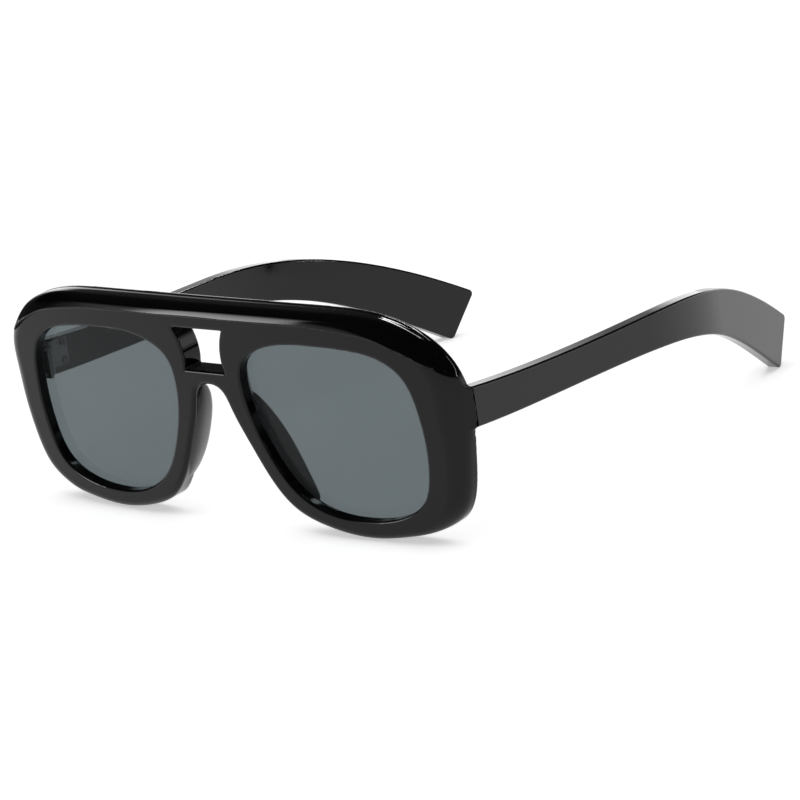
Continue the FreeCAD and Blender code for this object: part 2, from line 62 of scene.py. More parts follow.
# Sizes of the front, as in the source of the part
LENS_WIDTH = 51.2
LENS_HEIGHT = 41.9
BRIDGE_WIDTH = 21.4
RIM_BOTTOM = 4.6
RIM_TOP = 8.45
RIM_SIDE = 11.1
RIM_NOSE = 4.3
FRONT_THICKNESS = 5.85
WRAP_RADIUS = 640.0
FRONT_TILT = math.radians(3.5)
WINDOW_TOP_WIDTH = 16.0
WINDOW_WAIST = 12.0
WINDOW_HEIGHT = 10.45
WINDOW_RISE = 2.2
BRIDGE_BAR = 3.35
TEMPLE_HEIGHT = 9.4
HINGE_BACK = 2.0
LUG_INNER_X = 62.6
LUG_DEPTH = 4.1

inner_x = BRIDGE_WIDTH / 2
outer_x = inner_x + LENS_WIDTH
low_v = RIM_BOTTOM
high_v = low_v + LENS_HEIGHT
top_v = high_v + RIM_TOP
window_top = high_v + WINDOW_RISE
window_bottom = window_top - WINDOW_HEIGHT
arch_top = window_bottom - BRIDGE_BAR
temple_outer = outer_x + RIM_SIDE

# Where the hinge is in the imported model, and from it the place of the face of the front
hinge = Vector(frame["joints"][0]["pos_m"]) / MM
FACE_SHIFT_Y = -70.090
FACE_SHIFT_Z = -0.035
joint_y = hinge.y - HINGE_BACK


# Curves and distances in the plane of the face
def smooth_loop(points, count=420):
    """A closed smooth curve through the points, as many short steps."""
    points = np.array(points, float)
    gaps = np.linalg.norm(np.roll(points, -1, 0) - points, axis=1)
    n = len(points)
    bends = np.zeros((n, n))
    slopes = np.zeros((n, 2))
    for i in range(n):
        before, after = gaps[i - 1], gaps[i]
        bends[i, i - 1] += before
        bends[i, i] += 2 * (before + after)
        bends[i, (i + 1) % n] += after
        ahead = (points[(i + 1) % n] - points[i]) / after
        behind = (points[i] - points[i - 1]) / before
        slopes[i] = 6 * (ahead - behind)
    bend = np.linalg.solve(bends, slopes)
    ends = np.concatenate([[0], np.cumsum(gaps)])
    at = np.linspace(0, ends[-1], count, endpoint=False)
    i = np.clip(np.searchsorted(ends, at, side="right") - 1, 0, n - 1)
    j = (i + 1) % n
    gap = gaps[i][:, None]
    a = (ends[i + 1] - at)[:, None] / gap
    b = 1 - a
    cubic = ((a ** 3 - a) * bend[i] + (b ** 3 - b) * bend[j]) * gap ** 2 / 6
    return a * points[i] + b * points[j] + cubic


def signed_distance(loop, u, v):
    """Distance of points from a closed loop, negative inside it."""
    shape = u.shape
    points = np.stack([u.ravel(), v.ravel()], 1)
    start = loop
    along = np.roll(loop, -1, 0) - start
    length = (along ** 2).sum(1)
    out = np.empty(len(points))
    for first in range(0, len(points), 4000):
        part = points[first:first + 4000, None, :]
        away = part - start
        share = np.clip((away * along).sum(2) / length, 0, 1)
        near = ((away - share[..., None] * along) ** 2).sum(2).min(1)
        rises = (start[:, 1] <= part[..., 1]) != (start[:, 1] + along[:, 1] <= part[..., 1])
        cross = away[..., 1] * along[:, 0] / np.where(along[:, 1] == 0, 1, along[:, 1]) - away[..., 0]
        inside = (rises & (cross > 0)).sum(1) % 2 == 1
        out[first:first + 4000] = np.where(inside, -1, 1) * np.sqrt(near)
    return out.reshape(shape)


OPENING_SHAPE = (
    (0.465, 1.000), (0.690, 0.983), (0.836, 0.942), (0.940, 0.850), (0.994, 0.656),
    (0.990, 0.310), (0.936, 0.143), (0.818, 0.048), (0.582, 0.000), (0.377, 0.029),
    (0.207, 0.141), (0.076, 0.380), (0.005, 0.680), (0.030, 0.865), (0.133, 0.952),
)


def opening_loop():
    """Lens opening on the wearer's left."""
    return smooth_loop([(inner_x + a * LENS_WIDTH, low_v + b * LENS_HEIGHT) for a, b in OPENING_SHAPE])


def outline_loop():
    """Outer edge of the front."""
    half = [
        (inner_x + 0.50 * LENS_WIDTH, high_v + 0.955 * RIM_TOP),
        (inner_x + 0.84 * LENS_WIDTH, high_v + 0.745 * RIM_TOP),
        (outer_x + 0.23 * RIM_SIDE, high_v + 0.19 * RIM_TOP),
        (outer_x + 0.73 * RIM_SIDE, low_v + 0.90 * LENS_HEIGHT),
        (outer_x + 0.96 * RIM_SIDE, low_v + 0.67 * LENS_HEIGHT),
        (outer_x + 0.86 * RIM_SIDE, low_v + 0.45 * LENS_HEIGHT),
        (outer_x + 0.75 * RIM_SIDE, low_v + 0.285 * LENS_HEIGHT),
        (outer_x + 0.405 * RIM_SIDE, low_v + 0.052 * LENS_HEIGHT),
        (inner_x + 0.82 * LENS_WIDTH, low_v - 0.73 * RIM_BOTTOM),
        (inner_x + 0.60 * LENS_WIDTH, 0),
        (inner_x + 0.36 * LENS_WIDTH, low_v - 0.67 * RIM_BOTTOM),
        (inner_x + 0.17 * LENS_WIDTH, low_v + 0.03 * LENS_HEIGHT),
        (inner_x + 0.60 * RIM_NOSE, low_v + 0.21 * LENS_HEIGHT),
        (inner_x - 0.30 * RIM_NOSE, low_v + 0.39 * LENS_HEIGHT),
        (inner_x - 1.20 * RIM_NOSE, low_v + 0.60 * LENS_HEIGHT),
        (inner_x - 1.65 * RIM_NOSE, arch_top - 0.36 * BRIDGE_BAR),
    ]
    other = [(-u, v) for u, v in reversed(half)]
    return smooth_loop([(0, top_v)] + half + [(0, arch_top)] + other, 900)


def window_loop():
    """Window in the bridge: straight above and below, with sides that curve in."""
    half_top = WINDOW_TOP_WIDTH / 2
    half_waist = WINDOW_WAIST / 2
    half_low = (WINDOW_TOP_WIDTH + 3 * WINDOW_WAIST) / 8
    waist_share = 0.30
    side = []
    for share in np.linspace(0, 1, 24):
        bow = (share - waist_share) / (1 - waist_share) if share > waist_share else 1 - share / waist_share
        reach = half_top - half_waist if share > waist_share else half_low - half_waist
        side.append((half_waist + reach * bow ** 2, window_bottom + share * WINDOW_HEIGHT))
    return np.array(side + [(-u, v) for u, v in reversed(side)])


BROW_DROP = 3.30
BROW_MIDDLE_DROP = 2.95
BROW_SMOOTHING = 60


def brow_loop():
    """All that lies above the brow bar's lower edge."""
    half = [
        (inner_x + 0.50 * LENS_WIDTH, top_v - BROW_DROP),
        (inner_x + 0.83 * LENS_WIDTH, high_v + 0.38 * RIM_TOP),
        (outer_x + 0.05 * RIM_SIDE, high_v - 0.016 * LENS_HEIGHT),
        (outer_x + 0.45 * RIM_SIDE, high_v - 0.083 * LENS_HEIGHT),
        (outer_x + 0.95 * RIM_SIDE, high_v - 0.19 * LENS_HEIGHT),
    ]
    other = [(-u, v) for u, v in reversed(half)]
    edge = np.array(other + [(0, top_v - BROW_MIDDLE_DROP)] + half)
    at = np.linspace(edge[0, 0], edge[-1, 0], 300)
    line = np.stack([at, np.interp(at, edge[:, 0], edge[:, 1])], 1)
    for _ in range(BROW_SMOOTHING):
        line[1:-1, 1] = (line[:-2, 1] + 2 * line[1:-1, 1] + line[2:, 1]) / 4
    far = 40.0
    slope = (line[-1, 1] - line[-4, 1]) / (line[-1, 0] - line[-4, 0])
    right = (line[-1, 0] + far, line[-1, 1] + slope * far)
    left = (-right[0], right[1])
    return np.vstack([[left], line, [right], [(right[0], top_v + far)], [(left[0], top_v + far)]])


# Distances on a fine grid over the half of the face that the wearer's left eye looks through
FIELD_STEP = 0.2
field_u = np.arange(-1.0, 76.5, FIELD_STEP)
field_v = np.arange(-2.5, 58.0, FIELD_STEP)
grid_u, grid_v = np.meshgrid(field_u, field_v, indexing="ij")
fields = {
    "outline": signed_distance(outline_loop(), grid_u, grid_v),
    "opening": signed_distance(opening_loop(), grid_u, grid_v),
    "window": signed_distance(window_loop(), grid_u, grid_v),
    "brow": -signed_distance(brow_loop(), grid_u, grid_v),
}


def look_up(name, u, v):
    """A distance at any place, read from its grid."""
    field = fields[name]
    a = np.clip((np.abs(u) - field_u[0]) / FIELD_STEP, 0, len(field_u) - 1.001)
    b = np.clip((v - field_v[0]) / FIELD_STEP, 0, len(field_v) - 1.001)
    i = a.astype(int)
    j = b.astype(int)
    a = a - i
    b = b - j
    low = field[i, j] * (1 - b) + field[i, j + 1] * b
    high = field[i + 1, j] * (1 - b) + field[i + 1, j + 1] * b
    return low * (1 - a) + high * a


# Solids as levels: below zero inside, above zero outside
def both(a, b, radius):
    """Where two solids overlap, with the edge between them rounded."""
    a = a + radius
    b = b + radius
    return np.hypot(np.maximum(a, 0), np.maximum(b, 0)) + np.minimum(np.maximum(a, b), 0) - radius


def either(a, b, radius):
    """Two solids together, with the corner between them rounded."""
    return -both(-a, -b, radius)


def ramp(value, low, high):
    """Goes smoothly from 0 to 1 between two values."""
    share = np.clip((value - low) / (high - low), 0, 1)
    return share * share * (3 - 2 * share)


def to_world(u, d, v):
    """Wraps and leans a place on the front, still in millimetres."""
    y = d + WRAP_RADIUS - np.sqrt(WRAP_RADIUS ** 2 - u ** 2)
    cos, sin = math.cos(FRONT_TILT), math.sin(FRONT_TILT)
    return u, y * cos - v * sin + FACE_SHIFT_Y, y * sin + v * cos + FACE_SHIFT_Z


def block(place, low, high, radius):
    """A box between two corners, with rounded edges."""
    sides = [np.maximum(lo - p, p - hi) for p, lo, hi in zip(place, low, high)]
    return both(both(sides[0], sides[1], radius), sides[2], radius)


# Pairs say where, along the front or through it, a change starts and ends
# Brow bar: how it stands proud, leans and is rounded
BROW_RISE = 1.5
BROW_END_RISE = 0.15
BROW_LOWERS = (58, 73)
BROW_SLOPE = 0.20
BROW_END_SLOPE = 0.48
BROW_LEANS = (44, 62)
BROW_CURVE = 0.09
BROW_CLIMB = 4
BROW_ROUND = 1.3
BROW_END_ROUND = 5.4
BROW_ENDS = (61, 71)
BROW_BACK_ROUND = 0.25
BROW_CROWN = 0.35
BROW_CROWN_DEPTH = 4.0
BROW_UNDER = 0.06
BROW_DIVES = (3.2, 4.4)
BROW_SHORT = 0.5
LIP_ROUND = 0.2
top_limit = cad_box[1][2] / MM - 0.03

# Plate: how far it keeps inside the brow bar, and how its edges are rounded
BROW_INSET = 1.2
INSET_STARTS = (0.2, 1.4)
INSET_ENDS = (2.4, 4.6)
NOSE_ROUND = 1.2
RIM_ROUND = 2.0
RIM_FROM_NOSE = (14, 30)
SIDE_ROUND = 4.0
SIDE_FROM_RIM = (54, 66)
ENDPIECE_ROUND = 5.8
ENDPIECE_FROM_SIDE = (62, 68)
ENDPIECE_SPREAD = 7
BACK_ROUND = 0.4
HOLE_ROUND = 0.4

# Openings behind the lenses, and the nose arch, widen towards the face
LENS_FRONT = 2.75
EDGE_FLARE = 0.6
SIDE_FLARE = 0.75
MOST_INNER_FLARE = 0.75
MOST_FLARE_RISES = (24, 40)
NOSE_FLARE = 0.2
NOSE_END_FLARE = 0.7
NOSE_FLARE_FRONT = 0.6
NOSE_FLARE_STARTS = (2.5, 5)
NOSE_FLARE_ENDS = (16, 22)
ARCH_FADE = 4

# Endpieces at the joint
JOINT_CLEARANCE = 0.05
LUG_BLEND = 0.8
LUG_ROUND = 0.4
LUG_TAPER = 0.95
JOINT_ROOM = 2
JOINT_ROUND = 0.1
FAR = 20.0

# Nose pads
PAD_ABOVE = 13.3
PAD_BELOW = 13.2
PAD_WIDTH = 4.4
PAD_DEPTH = 9.4
PAD_MIDDLE = 4.9
PAD_INSET = 2.2
PAD_POWER = 2.5
PAD_SPLAY = math.radians(16.0)
pad_v = low_v + 0.357 * LENS_HEIGHT
above_pad = (pad_v + 4, pad_v + 13)


def flared_outline(u, d, v):
    """Distance from the outer edge, where the nose arch opens towards the face, least beside the pads."""
    reach = np.abs(u)
    flare = NOSE_FLARE + (NOSE_END_FLARE - NOSE_FLARE) * ramp(v, *above_pad)
    flare = flare * ramp(reach, *NOSE_FLARE_STARTS) * (1 - ramp(reach, *NOSE_FLARE_ENDS))
    flare = flare * (1 - ramp(v, arch_top, arch_top + ARCH_FADE))
    return look_up("outline", u, v) + flare * np.maximum(d - NOSE_FLARE_FRONT, 0)


def brow_level(u, d, v):
    """The brow bar: a front that leans back as it rises, and a top that is slightly crowned."""
    reach = np.abs(u)
    outline = look_up("outline", u, v)
    height = look_up("brow", u, v)
    rise = BROW_RISE + (BROW_END_RISE - BROW_RISE) * ramp(reach, *BROW_LOWERS)
    climb = np.clip(height, 0, BROW_CLIMB)
    start = BROW_SLOPE + (BROW_END_SLOPE - BROW_SLOPE) * ramp(reach, *BROW_LEANS)
    slope = start + 2 * BROW_CURVE * climb
    face = (start * climb + BROW_CURVE * climb ** 2 - rise - d) / np.sqrt(1 + slope ** 2)
    back = np.clip((BROW_CROWN_DEPTH - d) / (BROW_CROWN_DEPTH + BROW_RISE), 0, 1)
    rounding = BROW_ROUND + (BROW_END_ROUND - BROW_ROUND) * ramp(reach, *BROW_ENDS)
    # Towards the back it goes under the plate, which alone makes the back of the front
    under = BROW_UNDER * ramp(d, *BROW_DIVES)
    solid = both(face, outline + BROW_CROWN * back ** 2 + under, rounding)
    solid = both(solid, -height, LIP_ROUND)
    solid = both(solid, d - FRONT_THICKNESS + BROW_SHORT, BROW_BACK_ROUND)
    z = to_world(u, d, v)[2]
    return both(solid, z - top_limit, BROW_BACK_ROUND)


def rim_level(u, d, v):
    """The front without its brow bar: a rounded plate with holes and endpieces."""
    reach = np.abs(u)
    # Under the brow bar the plate keeps inside it
    inset = BROW_INSET * ramp(look_up("brow", u, v), *INSET_STARTS) * (1 - ramp(d, *INSET_ENDS))
    out = flared_outline(u, d, v) + inset
    rounding = NOSE_ROUND + (RIM_ROUND - NOSE_ROUND) * ramp(reach, *RIM_FROM_NOSE)
    rounding = rounding + (SIDE_ROUND - RIM_ROUND) * ramp(reach, *SIDE_FROM_RIM)
    beside_joint = ramp(reach, *ENDPIECE_FROM_SIDE) * np.exp(-((v - hinge.z) / ENDPIECE_SPREAD) ** 2)
    rounding = rounding + (ENDPIECE_ROUND - SIDE_ROUND) * beside_joint
    solid = both(out, -d, rounding)
    x, y, z = to_world(u, d, v)
    x = np.abs(x)
    low_z = hinge.z - TEMPLE_HEIGHT / 2
    high_z = hinge.z + TEMPLE_HEIGHT / 2
    joint_face = joint_y - JOINT_CLEARANCE
    # Endpieces reach back as far as the joint, flush with the temple
    lug_low = (LUG_INNER_X, joint_y - LUG_DEPTH, low_z)
    lug_high = (temple_outer, joint_face + FAR, high_z)
    lug = block((x, y, z), lug_low, lug_high, LUG_ROUND)
    lug = np.maximum(lug, (x - temple_outer + LUG_TAPER * (joint_face - y)) / math.hypot(1, LUG_TAPER))
    solid = either(both(solid, d - FRONT_THICKNESS, BACK_ROUND), lug, LUG_BLEND)
    # Room for the temple behind the joint
    room_low = (LUG_INNER_X - JOINT_ROOM, joint_face, low_z - JOINT_ROOM)
    room_high = (temple_outer + FAR, joint_y + FAR, high_z + FAR)
    room = block((x, y, z), room_low, room_high, JOINT_ROUND)
    solid = np.maximum(np.maximum(solid, -room), x - temple_outer)
    # Behind the lenses the openings widen, so that the walls don't show through the glass
    opening = look_up("opening", u, v)
    sideways = (look_up("opening", reach + FIELD_STEP, v) - opening) / FIELD_STEP
    widening = EDGE_FLARE + SIDE_FLARE * np.clip(np.abs(sideways), 0, 1)
    most = EDGE_FLARE + SIDE_FLARE - MOST_INNER_FLARE
    most = MOST_INNER_FLARE + most * ramp(reach, *MOST_FLARE_RISES)
    opening = opening - np.minimum(widening, most) * np.maximum(d - LENS_FRONT, 0)
    solid = both(solid, -opening, HOLE_ROUND)
    return both(solid, -look_up("window", u, v), HOLE_ROUND)


def pad_level(u, d, v):
    """A nose pad, rounded all over, that follows the rim's edge and opens towards the face."""
    side = -look_up("outline", u, v) - PAD_INSET
    up, deep = v - pad_v, d - PAD_MIDDLE
    wide = side * math.cos(PAD_SPLAY) - deep * math.sin(PAD_SPLAY)
    thick = deep * math.cos(PAD_SPLAY) + side * math.sin(PAD_SPLAY)
    length = np.where(up > 0, PAD_ABOVE, PAD_BELOW)
    wide_share, thick_share = np.abs(wide) / (PAD_WIDTH / 2), np.abs(thick) / (PAD_DEPTH / 2)
    section = (wide_share ** PAD_POWER + thick_share ** PAD_POWER) ** (1 / PAD_POWER)
    size = np.hypot(up / length, section)
    return (size - 1) * PAD_WIDTH / 2


def surface(level, us, ds, vs):
    """Points and four-sided faces of the zero surface of a level on a regular grid."""
    inside = level < 0
    shape = tuple(n - 1 for n in level.shape)
    corners = [(i, j, k) for i in (0, 1) for j in (0, 1) for k in (0, 1)]

    def at(values, corner):
        return values[tuple(slice(c, c + n) for c, n in zip(corner, shape))]

    count = sum(at(inside, corner).astype(int) for corner in corners)
    crossed = (count > 0) & (count < 8)
    number = np.full(shape, -1)
    number[crossed] = np.arange(crossed.sum())
    total = np.zeros((crossed.sum(), 3))
    hits = np.zeros(crossed.sum())
    for corner in corners:
        for axis in range(3):
            if corner[axis]:
                continue
            other = tuple(c + (axis == n) for n, c in enumerate(corner))
            here = at(level, corner)[crossed]
            there = at(level, other)[crossed]
            cut = (here < 0) != (there < 0)
            share = np.where(cut, here / np.where(cut, here - there, 1), 0)
            place = np.array(corner, float)[None, :].repeat(len(share), 0)
            place[:, axis] += share
            total += place * cut[:, None]
            hits += cut
    cells = np.argwhere(crossed) + total / hits[:, None]
    steps = [axis[1] - axis[0] for axis in (us, ds, vs)]
    points = np.array([us[0], ds[0], vs[0]]) + cells * steps
    faces = []
    for axis in range(3):
        one, two = [n for n in range(3) if n != axis]
        ahead = tuple(slice(1, None) if n == axis else slice(None) for n in range(3))
        back = tuple(slice(None, -1) if n == axis else slice(None) for n in range(3))
        leaves = np.argwhere(inside[back] & ~inside[ahead])
        enters = np.argwhere(~inside[back] & inside[ahead])
        for edges, order in ((leaves, (0, 1, 2, 3)), (enters, (3, 2, 1, 0))):
            ring = []
            for step_one, step_two in ((-1, -1), (0, -1), (0, 0), (-1, 0)):
                cell = edges.copy()
                cell[:, one] += step_one
                cell[:, two] += step_two
                ring.append(number[tuple(cell.T)])
            if axis == 1:
                order = order[::-1]
            faces.append(np.stack([ring[n] for n in order], 1))
    return points, np.vstack(faces)


def settle(points, level, rounds=4):
    """Moves points onto the zero surface of a level."""
    reach = 0.03
    least_grade = 0.3
    most_move = 0.2
    for _ in range(rounds):
        value = level(*points.T)
        grade = np.empty_like(points)
        for axis in range(3):
            step = np.zeros(3)
            step[axis] = reach
            grade[:, axis] = (level(*(points + step).T) - level(*(points - step).T)) / (2 * reach)
        size = np.maximum((grade ** 2).sum(1), least_grade)
        move = grade * (value / size)[:, None]
        points = points - np.clip(move, -most_move, most_move)
    return points


def mesh_object(name, points, faces, material):
    """A smooth mesh object from points in millimetres."""
    mesh = bpy.data.meshes.new(name)
    mesh.from_pydata((points * MM).tolist(), [], [tuple(face) for face in faces])
    shell = bmesh.new()
    shell.from_mesh(mesh)
    bmesh.ops.recalc_face_normals(shell, faces=shell.faces)
    shell.to_mesh(mesh)
    shell.free()
    mesh.polygons.foreach_set("use_smooth", [True] * len(mesh.polygons))
    mesh.materials.append(material)
    mesh.update()
    made = bpy.data.objects.new(name, mesh)
    bpy.context.scene.collection.objects.link(made)
    return made


# Materials
def new_material(name, color, **values):
    """A material with one main shader, and its plain values set on the shader itself."""
    material = bpy.data.materials.new(name)
    material.use_nodes = True
    shader = material.node_tree.nodes["Principled BSDF"]
    shader.inputs["Base Color"].default_value = (*color, 1)
    for socket, value in values.items():
        shader.inputs[socket.replace("_", " ")].default_value = value
    return material


def node(material, kind, **inputs):
    """A shader node with some of its inputs set or linked."""
    made = material.node_tree.nodes.new("ShaderNode" + kind)
    for name, value in inputs.items():
        socket = made.inputs[name.replace("_", " ")]
        if isinstance(value, bpy.types.NodeSocket):
            material.node_tree.links.new(value, socket)
        else:
            socket.default_value = value
    return made


def combine(material, operation, *values):
    """One sum or product of values in a material's or the world's nodes."""
    made = node(material, "Math")
    made.operation = operation
    for socket, value in zip(made.inputs, values):
        if isinstance(value, bpy.types.NodeSocket):
            material.node_tree.links.new(value, socket)
        else:
            socket.default_value = value
    return made.outputs[0]


def feed(material, socket, source):
    """Links a node's output to an input of the main shader."""
    material.node_tree.links.new(source, material.node_tree.nodes["Principled BSDF"].inputs[socket])


def spread(material, value, low, high, to_low, to_high):
    """Maps a value smoothly from one range to another."""
    made = node(material, "MapRange", Value=value, From_Min=low, From_Max=high)
    made.inputs["To Min"].default_value = to_low
    made.inputs["To Max"].default_value = to_high
    made.interpolation_type = "SMOOTHSTEP"
    return made.outputs["Result"]


def polish(material, smooth, rough, wear, grain, stretch=(1, 1, 1)):
    """Uneven gloss, a fine grain and edges that are a little worn."""
    place = node(material, "TexCoord").outputs["Object"]
    place = node(material, "Mapping", Vector=place, Scale=stretch).outputs["Vector"]
    cloud = node(material, "TexNoise", Vector=place, Scale=55.0, Detail=5.0).outputs["Fac"]
    fine = node(material, "TexNoise", Vector=place, Scale=1400.0, Detail=3.0).outputs["Fac"]
    edge = node(material, "NewGeometry").outputs["Pointiness"]
    worn = spread(material, edge, 0.53, 0.62, 0.0, 1.0)
    gloss = spread(material, cloud, 0.35, 0.65, smooth, rough)
    feed(material, "Roughness", combine(material, "MULTIPLY_ADD", worn, wear, gloss))
    bump = node(material, "Bump", Strength=grain, Distance=0.00004, Height=fine)
    feed(material, "Normal", bump.outputs["Normal"])
    return cloud, worn


def tint(material, factor, plain, marked):
    """Goes from one colour to another by a factor."""
    made = material.node_tree.nodes.new("ShaderNodeMix")
    made.data_type = "RGBA"
    # Inputs 6 and 7 are the node's two colours, and output 2 is their mix
    made.inputs[6].default_value = (*plain, 1)
    made.inputs[7].default_value = (*marked, 1)
    material.node_tree.links.new(factor, made.inputs[0])
    feed(material, "Base Color", made.outputs[2])


def plastic(name, color, worn_color, ior, smooth, rough):
    """Polished plastic, paler where its edges are rubbed."""
    material = new_material(name, color, IOR=ior)
    worn = polish(material, smooth, rough, 0.10, 0.05)[1]
    tint(material, worn, color, worn_color)
    return material


def metal(name, color, dull_color, rough, stretch):
    """Dark plated metal with a brushed grain."""
    material = new_material(name, color, Metallic=1.0)
    cloud = polish(material, rough - 0.06, rough + 0.08, 0.08, 0.15, stretch)[0]
    tint(material, cloud, color, dull_color)
    return material


acetate = plastic("front_acetate", (0.0022, 0.0022, 0.0023), (0.006, 0.006, 0.006), 1.31, 0.05, 0.09)
temple_acetate = plastic(
    "temple_acetate", (0.0025, 0.0025, 0.0026), (0.007, 0.007, 0.007), 1.40, 0.06, 0.11,
)
# The pads' colour is paler than their own near-black: a painted reflection that stands in for the grey
# they pick up from the room around them
pad_acetate = plastic("pad_acetate", (0.10, 0.10, 0.102), (0.12, 0.12, 0.12), 1.34, 0.25, 0.34)
hinge_steel = metal("hinge_steel", (0.17, 0.17, 0.175), (0.24, 0.24, 0.245), 0.38, (1, 1, 18))
screw_steel = metal("screw_steel", (0.10, 0.10, 0.105), (0.14, 0.14, 0.145), 0.28, (1, 1, 1))
wire_steel = metal("wire_steel", (0.45, 0.44, 0.43), (0.55, 0.54, 0.52), 0.34, (1, 12, 1))

# Grey glass with a light veil, cloudy by a trace
lens_glass = new_material(
    "grey_lens", (0.124, 0.148, 0.157), IOR=1.12, Transmission_Weight=1.0,
    Sheen_Weight=0.07, Sheen_Roughness=0.9,
)
LENS_DARKER = (0.122, 0.146, 0.155)
LENS_PALER = (0.126, 0.150, 0.159)
lens_place = node(lens_glass, "TexCoord").outputs["Object"]
lens_cloud = node(lens_glass, "TexNoise", Vector=lens_place, Scale=30.0, Detail=4.0).outputs["Fac"]
feed(lens_glass, "Roughness", spread(lens_glass, lens_cloud, 0.4, 0.75, 0.0, 0.02))
tint(lens_glass, spread(lens_glass, lens_cloud, 0.3, 0.7, 0.0, 1.0), LENS_DARKER, LENS_PALER)

FINISHES = (
    ("core_wire", wire_steel), ("hinge_screw", screw_steel), ("front_hinge_fixings", screw_steel),
    ("temple_hinge_fixings", screw_steel), ("front_hinge", hinge_steel), ("temple_hinge", hinge_steel),
    ("temple_", temple_acetate), ("nose_pad", pad_acetate), ("lens", lens_glass), ("front_frame", acetate),
)
for name, piece in nodes.items():
    finish = [material for start, material in FINISHES if name.startswith(start)][0]
    piece.data.materials.clear()
    piece.data.materials.append(finish)


# The front, its brow bar and its nose pads
def modelled(level, us, ds, vs):
    """Points on the front, in world millimetres, and faces of a level's surface."""
    grid = np.meshgrid(us, ds, vs, indexing="ij")
    points, faces = surface(level(*grid), us, ds, vs)
    points = settle(points, level)
    return np.stack(to_world(*points.T), 1), faces


# The grids reach a little past the shapes that they hold
GRID_STEP = 0.36
us = np.arange(-temple_outer - 1.4, temple_outer + 1.5, GRID_STEP)
ds = np.arange(-3.0, 9.0, GRID_STEP)
vs = np.arange(-1.3, top_v + 1.8, GRID_STEP)
front = mesh_object("front", *modelled(rim_level, us, ds, vs), acetate)
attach(front, "front")
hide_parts("front_frame")

BROW_STEP = 0.28
brow_vs = np.arange(high_v - 12.0, top_v + 1.8, BROW_STEP)
brow_us = np.arange(-temple_outer - 1.4, temple_outer + 1.5, BROW_STEP)
brow_ds = np.arange(-3.0, 7.0, BROW_STEP)
brow = mesh_object("brow_bar", *modelled(brow_level, brow_us, brow_ds, brow_vs), acetate)
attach(brow, "front")
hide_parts("front_frame")

PAD_STEP = 0.3
for side, name in ((1, "left"), (-1, "right")):
    pad_us = np.arange(2.0, 26.0, PAD_STEP) * side
    pad_ds = np.arange(-1.5, 13.5, PAD_STEP)
    pad_vs = np.arange(2.0, 36.0, PAD_STEP)
    pad = mesh_object("pad_" + name, *modelled(pad_level, np.sort(pad_us), pad_ds, pad_vs), pad_acetate)
    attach(pad, "front")
    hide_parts("nose_pad_" + name)

# Lenses reach under the rims, so that their edges don't show
LENS_INSET = 2.7
LENS_THICKNESS = 2.0
LENS_MARGIN = 2.8
RINGS = 28


def lens_mesh(side):
    """Points and faces of a lens, in rings about its middle, first the front and then the back."""
    loop = opening_loop()
    along = np.roll(loop, -1, 0) - np.roll(loop, 1, 0)
    outward = np.stack([-along[:, 1], along[:, 0]], 1) / np.linalg.norm(along, axis=1)[:, None]
    middle = loop.mean(0)
    if ((loop - middle) * outward).sum() < 0:
        outward = -outward
    loop = loop + outward * LENS_MARGIN
    count = len(loop)
    points = []
    for depth in (LENS_INSET, LENS_INSET + LENS_THICKNESS):
        for ring in range(RINGS, 0, -1):
            at = middle + (loop - middle) * ring / RINGS
            points.append(np.stack(to_world(side * at[:, 0], np.full(count, depth), at[:, 1]), 1))
        points.append(np.stack(to_world(side * middle[:1], np.array([depth]), middle[1:]), 1))
    half = RINGS * count + 1
    faces = []
    for start in (0, half):
        for ring in range(RINGS - 1):
            for i in range(count):
                j = (i + 1) % count
                outer, inner = start + ring * count, start + (ring + 1) * count
                faces.append((outer + i, outer + j, inner + j, inner + i))
        last = start + (RINGS - 1) * count
        faces += [(last + i, last + (i + 1) % count, start + half - 1) for i in range(count)]
    for i in range(count):
        j = (i + 1) % count
        faces.append((i, half + i, half + j, j))
    return np.vstack(points), faces


for side, name in ((1, "left"), (-1, "right")):
    lens = mesh_object("glass_" + name, *lens_mesh(side), lens_glass)
    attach(lens, "front")
    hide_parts("lens_" + name)

# Floor, light and camera
floor_size = 4.0
bpy.ops.mesh.primitive_plane_add(size=floor_size, location=(0, 0, 0))
floor = bpy.context.object
floor.name = "floor"
floor_material = bpy.data.materials.new("pale_floor")
floor_material.use_nodes = True
tree = floor_material.node_tree
tree.nodes.clear()
output = node(floor_material, "OutputMaterial")
diffuse = node(floor_material, "BsdfDiffuse", Color=(0.8, 0.8, 0.8, 1))
# The camera, gloss and glass see the floor as white, with a painted contact shadow: its glow is dimmed a
# little close to the glasses, besides the real shadow that the panel casts on its diffuse part
painted_shadow_reach = 0.014
painted_shadow_occlusion = node(floor_material, "AmbientOcclusion", Distance=painted_shadow_reach)
painted_shadow_glow = spread(floor_material, painted_shadow_occlusion.outputs["AO"], 0.35, 0.8, 0.50, 0.80)
path = node(floor_material, "LightPath").outputs
seen = combine(floor_material, "ADD", path["Is Glossy Ray"], path["Is Transmission Ray"])
seen = combine(floor_material, "MAXIMUM", path["Is Camera Ray"], seen)
seen = combine(floor_material, "MINIMUM", seen, 1.0)
seen = combine(floor_material, "MULTIPLY", painted_shadow_glow, seen)
glow = node(floor_material, "Emission", Color=(1, 1, 1, 1), Strength=seen)
add = node(floor_material, "AddShader")
tree.links.new(diffuse.outputs[0], add.inputs[0])
tree.links.new(glow.outputs[0], add.inputs[1])
tree.links.new(add.outputs[0], output.inputs["Surface"])
floor.data.materials.append(floor_material)

# The studio is white all round, but dark overhead and on the left, with one softbox at the front
world = bpy.data.worlds.new("studio")
bpy.context.scene.world = world
world.use_nodes = True
tree = world.node_tree
direction = node(world, "TexCoord").outputs["Generated"]
parts = node(world, "SeparateXYZ", Vector=direction)


